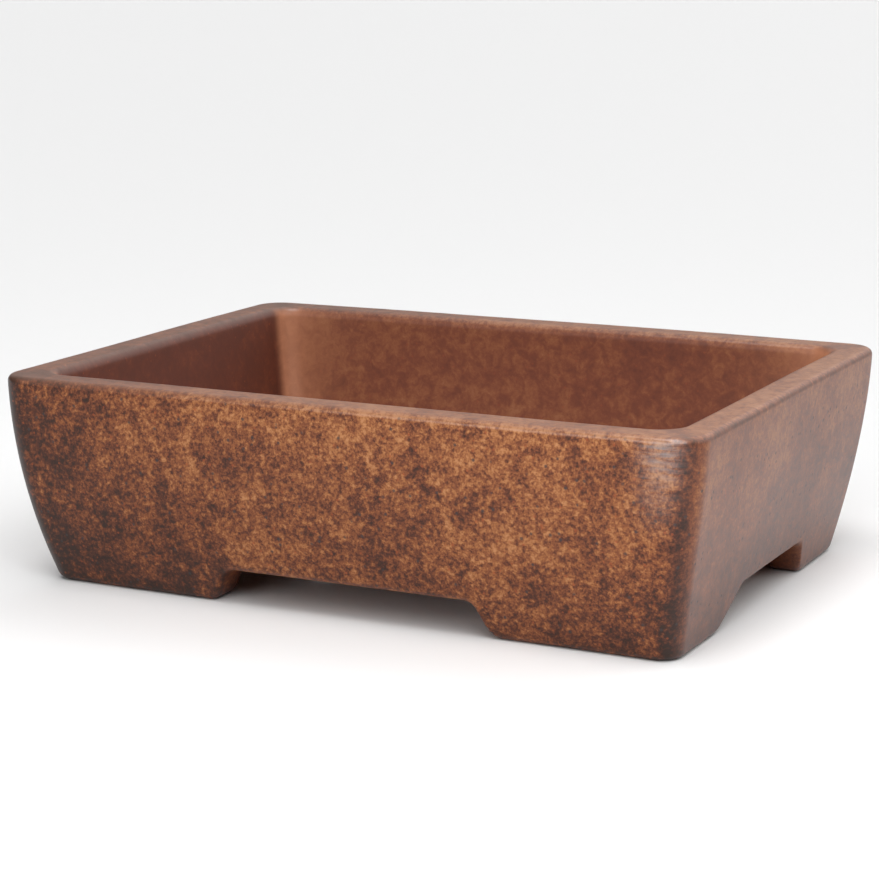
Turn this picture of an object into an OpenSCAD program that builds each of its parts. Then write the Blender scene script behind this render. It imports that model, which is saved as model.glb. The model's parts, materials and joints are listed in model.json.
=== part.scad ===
// Bonsai pot: a shallow, rectangular, unglazed stoneware tray on four cut feet.
// The fired clay is one piece. Two drain holes in its floor are each covered by a
// square of plastic netting, and a bent wire clip holds each square down: its legs
// pass through the netting and the hole, and spread out under the floor.
// The origin is on the ground, under the middle of the pot. +X runs along its
// length, +Z is up, and the front is towards -Y.

/* [Pot] */
// Length over the rim
length = 250; // [200:5:330]
// Depth over the rim, from front to back
depth = 180; // [150:5:240]
// Height from the ground to the rim
height = 72; // [60:1:96]
// Thickness of the walls, measured level
wall = 12.8; // [9:0.2:16]
// Thickness of the floor
floor_t = 9.8; // [7:0.2:14]
// Outer radius of the upright corners at the rim
rim_corner_r = 10.5; // [8:0.5:16]
// Outer radius of the upright corners at the ground
base_corner_r = 7.5; // [6:0.5:12]
// Inner radius of the upright corners
inner_corner_r = 8; // [5:0.5:14]

/* [Lean of the walls] */
// How far each end wall draws in, from the rim to the ground
end_lean = 11.1; // [4:0.1:16]
// Power of the end walls' curve: 1 is straight, higher keeps the top upright
end_bow = 1.5; // [1:0.05:3]
// How far the front and back walls draw in, from the rim to the ground
side_lean = 12.4; // [4:0.1:16]
// Power of the front and back walls' curve
side_bow = 2.25; // [1:0.05:3]

/* [Rounded edges] */
// Radius along the outside of the rim
rim_outer_r = 2.3; // [1:0.1:4]
// Radius along the inside of the rim
rim_inner_r = 3.5; // [1:0.1:5]
// Radius where the walls meet the ground
ground_edge_r = 2.3; // [1:0.1:4]
// Radius between the inner walls and the floor
cove_r = 8; // [3:0.5:12]

/* [Feet] */
// Height of the openings between the feet, and of the underside of the floor
foot_h = 12.2; // [8:0.2:18]
// Thickness of the feet at the ground
foot_t = 11; // [8:0.5:16]
// Half the width of the front and back openings, at half their height
front_half_gap = 47.6; // [30:0.2:60]
// How far the front and back openings sit off the middle, towards +X
front_gap_shift = 2.6; // [-4:0.1:4]
// Half the width of the end openings, at half their height
end_half_gap = 34.4; // [20:0.2:40]
// Slope of the feet's ends in the front and back openings, in degrees
front_slope = 66; // [40:1:80]
// Slope of the front feet's ends in the end openings, in degrees
near_end_slope = 38; // [35:1:80]
// Slope of the back feet's ends in the end openings, in degrees
far_end_slope = 66; // [40:1:80]
// Radius at the top of a foot's end, where it meets the wall
arch_r = 5; // [2:0.5:6]
// Radius at the bottom of a foot's end, where it meets the ground
toe_r = 5.5; // [2:0.5:6]

/* [Holes in the floor] */
// Radius of the two drain holes
drain_r = 12; // [9:0.5:15]
// Distance of each drain hole from the middle, along the length
drain_x = 62; // [50:1:70]
// Radius of the four holes for the tie-down wire
tie_hole_r = 2.5; // [1.5:0.25:4]
// Distance of the wire holes from the middle, along the length
tie_hole_x = 30; // [15:1:36]
// Distance of the wire holes from the middle, along the depth
tie_hole_y = 42; // [34:1:50]

/* [Netting] */
// Distance from one strand to the next
strand_pitch = 3.5; // [2.6:0.1:4.4]
// Width of a strand
strand_w = 1.1; // [0.6:0.1:1.4]
// Thickness of the netting
strand_t = 1.2; // [0.6:0.1:2]
// Number of openings along each side
openings = 11; // [11:2:13]

/* [Clips] */
// Diameter of the clip wire
wire_d = 1.5; // [0.8:0.1:1.5]
// Number of strand pitches from a clip's middle to each leg
leg_pitches = 2; // [1:1:2]
// Radius of a clip's loops, to the middle of the wire
loop_r = 5.5; // [4:0.25:6]
// Radius of a clip's bends, to the middle of the wire
bend_r = 2.2; // [1.5:0.1:3]
// How far a clip's feet reach under the floor, past the edge of the drain hole
clip_grip = 6; // [3:0.5:10]

/* [Hidden] */

// Facets of the pot's outer and inner surfaces
corner_steps = 6;
wall_steps = 9;
edge_steps = 4;
slope_steps = 6;
// Facets of round holes and wire, which stay true circles
$fn = 48;
// How far a cutting shape runs past the surface that it cuts
past = 1;

floor_top = foot_h + floor_t;
leg_x = leg_pitches * strand_pitch;
net_size = openings * strand_pitch + strand_w;
loop_z = floor_top + strand_t + wire_d / 2;
tail_z = foot_h - wire_d / 2;
stoneware = [0.60, 0.38, 0.28];
netting = [0.07, 0.08, 0.08];
aluminium = [0.72, 0.71, 0.69];

// Share of the height that lies above z: 0 at the rim, 1 at the ground
function below_rim(z) = (height - min(z, height)) / height;

// Half the outer length and half the outer depth at height z
function half_length(z) = length / 2 - end_lean * pow(below_rim(z), end_bow);
function half_depth(z) = depth / 2 - side_lean * pow(below_rim(z), side_bow);

// Outer radius of the upright corners at height z
function corner_r(z) = rim_corner_r + (base_corner_r - rim_corner_r) * below_rim(z);

// Points of a level rectangle with round corners, counter-clockwise from above
function ring(half_x, half_y, r, z) = [
    for (corner = [0:3], step = [0:corner_steps])
        let (
            turn = 90 * (corner + step / corner_steps),
            x_side = (corner == 0 || corner == 3) ? 1 : -1,
            y_side = corner < 2 ? 1 : -1
        )
        [x_side * (half_x - r) + r * cos(turn), y_side * (half_y - r) + r * sin(turn), z]
];

// Ring of the outer surface at height z, drawn in by inset at a rounded edge
function outer_ring(z, inset) =
    ring(half_length(z) - inset, half_depth(z) - inset, corner_r(z) - inset, z);

// Ring of the inner surface at height z, drawn in by inset at the cove. At the rim
// the inset is negative, and the corners open out with it.
function inner_ring(z, inset) =
    ring(half_length(z) - wall - inset, half_depth(z) - wall - inset, inner_corner_r - min(inset, 0), z);

// Angles that divide a quarter circle evenly
quarter = [for (step = [0:edge_steps]) 90 * step / edge_steps];

// Heights that divide the wall between two heights evenly, without its ends
function wall_levels(low, high) = [for (step = [1:wall_steps - 1]) low + (high - low) * step / wall_steps];

outer_rings = [
    for (a = quarter) outer_ring(ground_edge_r * (1 - cos(a)), ground_edge_r * (1 - sin(a))),
    for (z = wall_levels(ground_edge_r, height - rim_outer_r)) outer_ring(z, 0),
    for (a = quarter) outer_ring(height - rim_outer_r * (1 - sin(a)), rim_outer_r * (1 - cos(a)))
];

inner_rings = [
    for (a = quarter) inner_ring(floor_top + cove_r * (1 - cos(a)), cove_r * (1 - sin(a))),
    for (z = wall_levels(floor_top + cove_r, height - rim_inner_r)) inner_ring(z, 0),
    for (a = quarter) inner_ring(height - rim_inner_r * (1 - sin(a)), -rim_inner_r * (1 - cos(a))),
    inner_ring(height + past, -rim_inner_r)
];

// Solid through a stack of rings that have the same number of points
module loft(rings) {
    count = len(rings[0]);
    last = len(rings) - 1;
    sides = [
        for (level = [0:last - 1], i = [0:count - 1])
            let (j = (i + 1) % count, low = level * count, high = low + count)
            [low + i, high + i, high + j, low + j]
    ];
    bottom = [for (i = [0:count - 1]) i];
    top = [for (i = [count - 1:-1:0]) last * count + i];
    polyhedron(points = [for (one = rings) each one], faces = concat([bottom], sides, [top]));
}

// Outline of one end of a foot, from the ground up to the wall's lower edge:
// a convex toe, a straight slope and a concave arch. half_gap is at half height.
function foot_end(half_gap, slope) =
    let (
        toe_top = toe_r * (1 - cos(slope)),
        arch_low = foot_h - arch_r * (1 - cos(slope)),
        toe_x = half_gap + (foot_h / 2 - toe_top) / tan(slope) + toe_r * sin(slope),
        arch_x = half_gap - (arch_low - foot_h / 2) / tan(slope) - arch_r * sin(slope)
    )
    [
        for (step = [0:slope_steps])
            let (a = slope * step / slope_steps)
            [toe_x - toe_r * sin(a), toe_r * (1 - cos(a))],
        for (step = [slope_steps:-1:0])
            let (a = slope * step / slope_steps)
            [arch_x + arch_r * sin(a), foot_h - arch_r * (1 - cos(a))]
    ];

// Opening between two feet, as an outline that starts and ends below the ground
module foot_opening(half_gap, right_slope, left_slope) {
    right_end = foot_end(half_gap, right_slope);
    left_end = foot_end(half_gap, left_slope);
    last = len(left_end) - 1;
    polygon([
        [right_end[0].x, -past],
        each right_end,
        for (i = [last:-1:0]) [-left_end[i].x, left_end[i].y],
        [-left_end[0].x, -past]
    ]);
}

// Space inside the ring of feet, up to the underside of the floor
module underside_recess() {
    half_x = half_length(0) - foot_t;
    half_y = half_depth(0) - foot_t;
    inner_edge = ring(half_x, half_y, base_corner_r, 0);
    translate([0, 0, -past])
        linear_extrude(foot_h + past)
            polygon([for (point = inner_edge) [point.x, point.y]]);
}

module floor_hole(x, y, r) {
    translate([x, y, foot_h - past])
        cylinder(r = r, h = floor_t + 2 * past);
}

module pot_body() {
    color(stoneware)
        difference() {
            loft(outer_rings);
            loft(inner_rings);
            underside_recess();
            rotate([90, 0, 0])
                linear_extrude(depth, center = true)
                    translate([front_gap_shift, 0])
                        foot_opening(front_half_gap, front_slope, front_slope);
            rotate([90, 0, 90])
                linear_extrude(length, center = true)
                    foot_opening(end_half_gap, far_end_slope, near_end_slope);
            for (x_side = [-1, 1]) {
                floor_hole(x_side * drain_x, 0, drain_r);
                for (y_side = [-1, 1])
                    floor_hole(x_side * tie_hole_x, y_side * tie_hole_y, tie_hole_r);
            }
        }
}

// Square of netting, lying on the floor over a drain hole
module drain_screen() {
    opening_w = strand_pitch - strand_w;
    first = -(openings - 1) / 2 * strand_pitch;
    translate([0, 0, floor_top])
        linear_extrude(strand_t)
            difference() {
                square(net_size, center = true);
                for (column = [0:openings - 1], row = [0:openings - 1])
                    translate([first + column * strand_pitch, first + row * strand_pitch])
                        square(opening_w, center = true);
            }
}

// Wire bent about the origin in the XY plane, from +X towards +Y
module bent_wire(r, angle) {
    rotate_extrude(angle = angle)
        translate([r, 0])
            circle(d = wire_d);
}

// Straight wire along +Z from the origin
module straight_wire(reach) {
    cylinder(d = wire_d, h = reach);
}

// Half of a clip, on its +X side: half of the cross wire, a loop on top of the
// netting, the leg down through it, and the tail that spreads under the floor
module half_clip() {
    loop_x = leg_x + loop_r;
    cross_y = bend_r - loop_r;
    translate([0, cross_y, loop_z])
        rotate([0, 90, 0])
            straight_wire(loop_x);
    translate([loop_x, bend_r, loop_z])
        rotate([0, 0, -90])
            bent_wire(loop_r, 270);
    translate([leg_x, bend_r, loop_z - bend_r])
        rotate([90, 0, 90])
            rotate([0, 0, 90])
                bent_wire(bend_r, 90);
    translate([leg_x, 0, tail_z + bend_r])
        straight_wire(loop_z - tail_z - 2 * bend_r);
    translate([leg_x + bend_r, 0, tail_z + bend_r])
        rotate([90, 0, 0])
            rotate([0, 0, 180])
                bent_wire(bend_r, 90);
    translate([leg_x + bend_r, 0, tail_z])
        rotate([0, 90, 0])
            straight_wire(drain_r + clip_grip - leg_x - bend_r);
}

module screen_clip() {
    half_clip();
    mirror([1, 0, 0])
        half_clip();
}

module drain_screen_left() {
    color(netting)
        translate([-drain_x, 0, 0])
            drain_screen();
}

module drain_screen_right() {
    color(netting)
        translate([drain_x, 0, 0])
            drain_screen();
}

module screen_clip_left() {
    color(aluminium)
        translate([-drain_x, 0, 0])
            screen_clip();
}

module screen_clip_right() {
    color(aluminium)
        translate([drain_x, 0, 0])
            screen_clip();
}

pot_body();
drain_screen_left();
drain_screen_right();
screen_clip_left();
screen_clip_right();
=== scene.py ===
"""Looks of a shallow stoneware bonsai pot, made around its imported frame.

The pot is one fired piece: its surface is a section carried round a rounded
rectangle, from the middle of the floor inside, over the rim, down the wall, round
the cut feet and back under the floor. Each drain hole has a square of plastic
netting over it, and a bent wire clip that holds the netting down.
"""
import json
import logging
import math
from dataclasses import dataclass, field
from enum import Enum
from typing import Any, Sequence, Union

import bpy
import numpy as np
from mathutils import Matrix, Vector
from mathutils.geometry import delaunay_2d_cdt


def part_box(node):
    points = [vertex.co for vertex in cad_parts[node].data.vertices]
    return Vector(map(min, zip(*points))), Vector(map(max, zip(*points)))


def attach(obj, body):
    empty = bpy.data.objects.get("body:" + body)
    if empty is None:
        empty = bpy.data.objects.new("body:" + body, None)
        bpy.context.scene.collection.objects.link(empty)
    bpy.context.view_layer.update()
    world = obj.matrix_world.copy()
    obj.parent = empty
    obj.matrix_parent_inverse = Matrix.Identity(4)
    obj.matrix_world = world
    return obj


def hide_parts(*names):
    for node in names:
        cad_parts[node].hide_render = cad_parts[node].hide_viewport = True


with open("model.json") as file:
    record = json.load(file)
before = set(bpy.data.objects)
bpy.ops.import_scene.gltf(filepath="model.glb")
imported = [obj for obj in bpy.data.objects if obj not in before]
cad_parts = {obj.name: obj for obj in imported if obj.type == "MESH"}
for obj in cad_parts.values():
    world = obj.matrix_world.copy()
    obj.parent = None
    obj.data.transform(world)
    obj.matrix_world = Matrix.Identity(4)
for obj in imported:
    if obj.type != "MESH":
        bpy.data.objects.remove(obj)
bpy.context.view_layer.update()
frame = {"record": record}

MM = 0.001
BODY = "root"
QUARTER = math.pi / 2
DOME_RINGS = (0.0, 0.55, 0.88)  # radii of the rings that close a tube's end, as shares of its own
DOME_HEIGHT = 0.45

log = logging.getLogger("bonsai_pot")

Colour = tuple[float, float, float, float]


def linear(red: float, green: float, blue: float) -> Colour:
    """Turn a display colour into the linear colour that a shader uses.

    Args:
        red, green, blue: Display values from 0 to 255.

    Returns:
        The linear colour, opaque.
    """
    display = np.array([red, green, blue]) / 255
    value = np.where(display <= 0.04045, display / 12.92, ((display + 0.055) / 1.055) ** 2.4)
    return (float(value[0]), float(value[1]), float(value[2]), 1.0)


def unit(vectors: np.ndarray) -> np.ndarray:
    """Scale vectors along the last axis to length one."""
    return vectors / np.linalg.norm(vectors, axis=-1, keepdims=True)


# --------------------------------------------------------------------------- shaders


class Sock:
    """A number socket of a node tree, whose arithmetic adds Math nodes."""

    def __init__(self, graph: "Graph", socket: bpy.types.NodeSocket) -> None:
        """Wrap an output socket of a graph."""
        self.graph = graph
        self.socket = socket

    def math(self, operation: str, *others: "Number") -> "Sock":
        """Add one Math node.

        Args:
            operation: The Math node's operation.
            others: Its second and third values.

        Returns:
            The node's result.
        """
        values = dict(enumerate((self, *others)))
        made = self.graph.node("ShaderNodeMath", {"operation": operation}, values)
        return Sock(self.graph, made.outputs[0])

    def __add__(self, other: "Number") -> "Sock":
        """Sum."""
        return self.math("ADD", other)

    def __radd__(self, other: "Number") -> "Sock":
        """Sum, reflected."""
        return self.math("ADD", other)

    def __sub__(self, other: "Number") -> "Sock":
        """Difference."""
        return self.math("SUBTRACT", other)

    def __rsub__(self, other: "Number") -> "Sock":
        """Difference, reflected: other - self = self * -1 + other."""
        return self.math("MULTIPLY_ADD", -1.0, other)

    def __mul__(self, other: "Number") -> "Sock":
        """Product."""
        return self.math("MULTIPLY", other)

    def __rmul__(self, other: "Number") -> "Sock":
        """Product, reflected."""
        return self.math("MULTIPLY", other)

    def step(self, low: float, high: float) -> "Sock":
        """Rise smoothly from 0 at low to 1 at high, or fall where low is above high.

        Args:
            low: Value at which the result is 0.
            high: Value at which the result is 1.

        Returns:
            The result, held between 0 and 1.
        """
        settings = {"interpolation_type": "SMOOTHSTEP", "clamp": True}
        values = {"Value": self, "From Min": low, "From Max": high, "To Min": 0.0, "To Max": 1.0}
        if low > high:
            values.update({"From Min": high, "From Max": low, "To Min": 1.0, "To Max": 0.0})
        return Sock(self.graph, self.graph.node("ShaderNodeMapRange", settings, values).outputs[0])


Number = Union[Sock, float]


class Graph:
    """The node tree of one material or world."""

    def __init__(self, owner: bpy.types.Material | bpy.types.World) -> None:
        """Empty the tree of a new material or world."""
        self.owner = owner
        self.owner.use_nodes = True
        self.tree = self.owner.node_tree
        self.tree.nodes.clear()

    @classmethod
    def of_material(cls, name: str) -> "Graph":
        """Start a new material."""
        return cls(bpy.data.materials.new(name))

    def node(self, kind: str, settings: dict[str, Any], inputs: dict[Any, Any]) -> bpy.types.Node:
        """Add any node.

        Args:
            kind: The node's type name.
            settings: Its properties. "stops" holds a ramp's (place, colour) pairs.
            inputs: Values or links of its sockets, by name or number.

        Returns:
            The node.
        """
        made = self.tree.nodes.new(kind)
        for name, value in settings.items():
            if name == "stops":
                ramp = made.color_ramp
                while len(ramp.elements) < len(value):
                    ramp.elements.new(1.0)
                for element, (place, colour) in zip(ramp.elements, value):
                    element.position = place
                    element.color = colour
            else:
                setattr(made, name, value)
        for key, value in inputs.items():
            if isinstance(value, Sock):
                self.tree.links.new(value.socket, made.inputs[key])
            elif isinstance(value, bpy.types.NodeSocket):
                self.tree.links.new(value, made.inputs[key])
            else:
                made.inputs[key].default_value = value
        return made

    def millimetres(self) -> bpy.types.NodeSocket:
        """Read the piece's own coordinates.

        Returns:
            Object coordinates in millimetres.
        """
        place = self.node("ShaderNodeTexCoord", {}, {}).outputs["Object"]
        scaled = self.node("ShaderNodeVectorMath", {"operation": "SCALE"}, {0: place, "Scale": 1 / MM})
        return scaled.outputs[0]

    def stretched(self, place: bpy.types.NodeSocket, x: float, y: float, z: float) -> bpy.types.NodeSocket:
        """Coordinates times a factor for each axis."""
        node = self.node("ShaderNodeVectorMath", {"operation": "MULTIPLY"}, {0: place, 1: (x, y, z)})
        return node.outputs[0]

    def moved(self, place: bpy.types.NodeSocket, x: float, y: float, z: float) -> bpy.types.NodeSocket:
        """Coordinates plus an offset."""
        node = self.node("ShaderNodeVectorMath", {"operation": "ADD"}, {0: place, 1: (x, y, z)})
        return node.outputs[0]

    def noise(self, place: bpy.types.NodeSocket, grain: float, detail: float = 2.0,
              rough: float = 0.5, bend: float = 0.0) -> Sock:
        """Smooth noise about 0.5.

        Args:
            place: The coordinates.
            grain: Size of the largest blobs, in the coordinates' units.
            detail: How many finer layers are added.
            rough: How strong the finer layers are.
            bend: How far the pattern is bent by itself.

        Returns:
            The noise value.
        """
        values = {"Vector": place, "Scale": 1 / grain, "Detail": detail, "Roughness": rough,
                  "Distortion": bend}
        return Sock(self, self.node("ShaderNodeTexNoise", {}, values).outputs[0])

    def cells(self, place: bpy.types.NodeSocket, spacing: float) -> tuple[Sock, Sock]:
        """Scattered points, one in each cell.

        Args:
            place: The coordinates.
            spacing: Size of a cell, in the coordinates' units.

        Returns:
            The distance to the nearest point as a share of the spacing, and a random
            number that is the same all over a cell.
        """
        node = self.node("ShaderNodeTexVoronoi", {"feature": "F1"}, {"Vector": place, "Scale": 1 / spacing})
        parts = self.node("ShaderNodeSeparateColor", {}, {0: node.outputs["Color"]})
        return Sock(self, node.outputs["Distance"]), Sock(self, parts.outputs[0])

    def attribute(self, name: str) -> Sock:
        """A number that the mesh carries at each vertex."""
        return Sock(self, self.node("ShaderNodeAttribute", {"attribute_name": name}, {}).outputs["Fac"])

    def ramp(self, value: Sock, stops: Sequence[tuple[float, Colour]]) -> bpy.types.NodeSocket:
        """Colour that follows a number."""
        return self.node("ShaderNodeValToRGB", {"stops": stops}, {0: value}).outputs[0]

    def blend(self, share: Number, low: Any, high: Any) -> bpy.types.NodeSocket:
        """Mix two colours.

        Args:
            share: How much of the second colour shows.
            low: The first colour, as a value or a link.
            high: The second colour.

        Returns:
            The mixed colour.
        """
        node = self.node("ShaderNodeMix", {"data_type": "RGBA"}, {0: share, 6: low, 7: high})
        return node.outputs[2]

    def bump(self, height: Sock, depth: float) -> bpy.types.NodeSocket:
        """Turn a height from 0 to 1 into a normal.

        Args:
            height: The height.
            depth: How deep a full step is, in metres.

        Returns:
            The normal.
        """
        values = {"Height": height, "Strength": 1.0, "Distance": depth}
        return self.node("ShaderNodeBump", {}, values).outputs[0]

    def finish(self, values: dict[str, Any]) -> bpy.types.Material:
        """Close the tree with a Principled shader.

        Args:
            values: Values or links of the shader's sockets.

        Returns:
            The material.
        """
        shader = self.node("ShaderNodeBsdfPrincipled", {}, values)
        self.node("ShaderNodeOutputMaterial", {}, {"Surface": shader.outputs[0]})
        return self.owner


@dataclass(frozen=True)
class Stoneware:
    """Unglazed clay, speckled from tan to dark brown, with a satin skin.

    The first five colours are the clay's tones. Sizes of grains are in millimetres.
    """

    palest: Colour = linear(174, 119, 76)
    tan: Colour = linear(146, 90, 49)
    russet: Colour = linear(114, 60, 31)
    brown: Colour = linear(75, 36, 19)
    iron: Colour = linear(44, 23, 13)
    slate: Colour = linear(52, 47, 49)
    ember: Colour = linear(152, 72, 32)
    # rim colour: rubbed clay, partly a painted sheen
    rubbed_and_sheen: Colour = linear(142, 109, 95)
    inner: Colour = linear(128, 74, 60)
    # painted highlight in the inner corners
    wiped: Colour = linear(188, 128, 95)
    # painted sheen: a grey reflection patch beside the upper right corner
    dense: Colour = linear(128, 122, 122)
    grain_size: float = 1.4
    blotch_size: float = 4.0
    patch_size: float = 15.0
    cloud_size: float = 60.0
    pit_spacing: float = 3.1
    speck_spacing: float = 2.2
    relief: float = 0.06 * MM
    roughness: float = 0.42
    ior: float = 1.38
    coat_roughness: float = 0.17

    def material(self) -> bpy.types.Material:
        """Build the clay.

        Noises of four sizes add up to a tone, which picks the colour. Pits and red
        specks lie on top. The mesh says where the clay is the rim, the inside or an end
        wall, where a highlight in the inner corners and a grey sheen are painted on, and how much its tone
        is shifted, mostly as painted light and shade.

        Returns:
            The material.
        """
        graph = Graph.of_material("stoneware")
        place = graph.millimetres()
        grain = graph.noise(place, self.grain_size, 3.0, 0.8, 0.2)
        blotch = graph.noise(graph.moved(place, 31, 7, 3), self.blotch_size, 3.0, 0.62, 0.6)
        patch = graph.noise(graph.moved(place, 5, 71, 19), self.patch_size, 2.0, 0.5, 0.4)
        cloud = graph.noise(graph.moved(place, 43, 11, 60), self.cloud_size, 1.0, 0.5)
        rim, inside, side = (graph.attribute(name) for name in ("rim", "inside", "side"))
        fine = (1.0 - inside * 0.7) * (1.0 - side * 0.6)
        coarse = (1.0 - inside * 0.1) * (1.0 - side * 0.6)
        fleck = (grain - 0.5) * 2.0 * fine + (blotch - 0.5) * 1.15 * coarse
        broad = (patch - 0.5) * 0.6 * (1.0 - side * 0.4) + (cloud - 0.5) * 0.45
        tones = [(0.0, self.iron), (0.25, self.brown), (0.5, self.russet), (0.72, self.tan),
                 (1.0, self.palest)]
        # the tint attribute shifts the tone, mostly as painted light and shade
        clay = graph.ramp(0.5 + fleck + broad + graph.attribute("tint"), tones)
        near, pick = graph.cells(graph.moved(place, 3, 3, 9), self.pit_spacing)
        pit = near.step(0.24, 0.10) * pick.step(0.68, 0.74) * (1.0 - rim) * (1.0 - inside * 0.8)
        glow, choice = graph.cells(graph.moved(place, 13, 5, 1), self.speck_spacing)
        speck = glow.step(0.26, 0.12) * choice.step(0.75, 0.80) * (1.0 - rim)
        clay = graph.blend(speck * 0.55, clay, self.ember)
        clay = graph.blend(pit * 0.8, clay, self.slate)
        # rim: rubbed clay, partly a painted sheen
        clay = graph.blend(rim * (0.2 + blotch * 0.6), clay, self.rubbed_and_sheen)
        clay = graph.blend(inside * 0.48, clay, self.inner)
        # painted highlight in the inner corners
        clay = graph.blend(graph.attribute("wiped") * (0.62 + blotch * 0.6), clay, self.wiped)
        # painted sheen: a grey reflection patch with level streaks
        streak = graph.noise(graph.stretched(place, 0.3, 0.3, 2.0), 2.0, 2.0, 0.6)
        clay = graph.blend(graph.attribute("dense") * (streak.step(0.2, 0.8) * 0.85), clay, self.dense)
        skin = self.roughness + (grain - 0.5) * 0.15 + pit * 0.1 + inside * 0.08
        normal = graph.bump(grain * 0.5 + blotch * 0.3 - pit * 0.6, self.relief)
        return graph.finish({"Base Color": clay, "Roughness": skin, "Normal": normal, "IOR": self.ior,
                             "Coat Weight": graph.attribute("polish"),
                             "Coat Roughness": self.coat_roughness})


@dataclass(frozen=True)
class Netting:
    """Moulded polythene netting, almost black."""

    colour: Colour = linear(34, 38, 37)
    worn: Colour = linear(62, 66, 63)
    roughness: float = 0.48
    relief: float = 0.03 * MM

    def material(self) -> bpy.types.Material:
        """Build the plastic: dull, with a faint bloom of dust.

        Returns:
            The material.
        """
        graph = Graph.of_material("netting")
        place = graph.millimetres()
        bloom = graph.noise(place, 5.0, 3.0, 0.6)
        grit = graph.noise(place, 0.35, 2.0, 0.6)
        colour = graph.blend(bloom.step(0.42, 0.72), self.colour, self.worn)
        skin = self.roughness + (grit - 0.5) * 0.3
        normal = graph.bump(grit, self.relief)
        return graph.finish({"Base Color": colour, "Roughness": skin, "Normal": normal})


@dataclass(frozen=True)
class ClipWire:
    """Drawn aluminium wire, satin, with a dull bloom."""

    bright: Colour = linear(214, 212, 207)
    dull: Colour = linear(150, 149, 146)
    roughness: float = 0.33
    relief: float = 0.02 * MM

    def material(self) -> bpy.types.Material:
        """Build the metal: bright where it was handled, dull elsewhere, with fine scuffs.

        Returns:
            The material.
        """
        graph = Graph.of_material("clip_wire")
        place = graph.millimetres()
        bloom = graph.noise(place, 2.2, 3.0, 0.6)
        scuff = graph.noise(place, 0.3, 2.0, 0.5)
        colour = graph.blend(bloom.step(0.40, 0.70), self.bright, self.dull)
        skin = self.roughness + bloom * 0.15
        normal = graph.bump(scuff, self.relief)
        return graph.finish({"Base Color": colour, "Metallic": 1.0, "Roughness": skin, "Normal": normal})


@dataclass(frozen=True)
class PaleFloor:
    """Plain pale ground."""

    colour: Colour = (0.86, 0.86, 0.86, 1.0)
    roughness: float = 0.7
    specular: float = 0.2

    def material(self) -> bpy.types.Material:
        """Build the plain floor.

        Returns:
            The material.
        """
        graph = Graph.of_material("pale_floor")
        return graph.finish({"Base Color": self.colour, "Roughness": self.roughness,
                             "Specular IOR Level": self.specular})


# --------------------------------------------------------------------------- meshes


def make_piece(name: str, points: np.ndarray, faces: list[np.ndarray], material: bpy.types.Material,
               attributes: dict[str, np.ndarray] | None = None) -> bpy.types.Object:
    """Put a surface into a smooth-shaded mesh object at the origin.

    Args:
        name: Name of the object and of its mesh.
        points: Vertices in metres, one row each.
        faces: Arrays of vertex numbers, each with one face per row.
        material: Its finish.
        attributes: Numbers that the mesh carries at its vertices, by name.

    Returns:
        The object, linked to the scene.
    """
    mesh = bpy.data.meshes.new(name)
    sizes = np.concatenate([np.full(len(block), block.shape[1]) for block in faces])
    corners = np.concatenate([block.ravel() for block in faces])
    mesh.vertices.add(len(points))
    mesh.vertices.foreach_set("co", np.asarray(points, dtype=np.float32).ravel())
    mesh.loops.add(len(corners))
    mesh.loops.foreach_set("vertex_index", corners.astype(np.int32))
    mesh.polygons.add(len(sizes))
    mesh.polygons.foreach_set("loop_start", np.concatenate([[0], np.cumsum(sizes)[:-1]]).astype(np.int32))
    mesh.polygons.foreach_set("use_smooth", np.ones(len(sizes), dtype=bool))
    for key, values in (attributes or {}).items():
        layer = mesh.attributes.new(key, "FLOAT", "POINT")
        layer.data.foreach_set("value", np.asarray(values, dtype=np.float32))
    mesh.update(calc_edges=True)
    mesh.validate()
    mesh.materials.append(material)
    made = bpy.data.objects.new(name, mesh)
    bpy.context.scene.collection.objects.link(made)
    return made


def grid_faces(rows: int, columns: int, start: int = 0, closed: bool = True) -> np.ndarray:
    """Number the four corners of each cell of a grid of points.

    A cell's corners run along the first step of its rows and then of its columns, so
    the face looks along (row step) x (column step).

    Args:
        rows: Number of rows.
        columns: Number of points in a row.
        start: Number of the grid's first point.
        closed: Whether the last column joins the first one.

    Returns:
        One row of four point numbers for each cell.
    """
    last = columns if closed else columns - 1
    row, column = np.meshgrid(np.arange(rows - 1), np.arange(last), indexing="ij")
    after = (column + 1) % columns
    here, below = row * columns, (row + 1) * columns
    cells = [here + column, below + column, below + after, here + after]
    return start + np.stack([cell.ravel() for cell in cells], axis=1)


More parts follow.
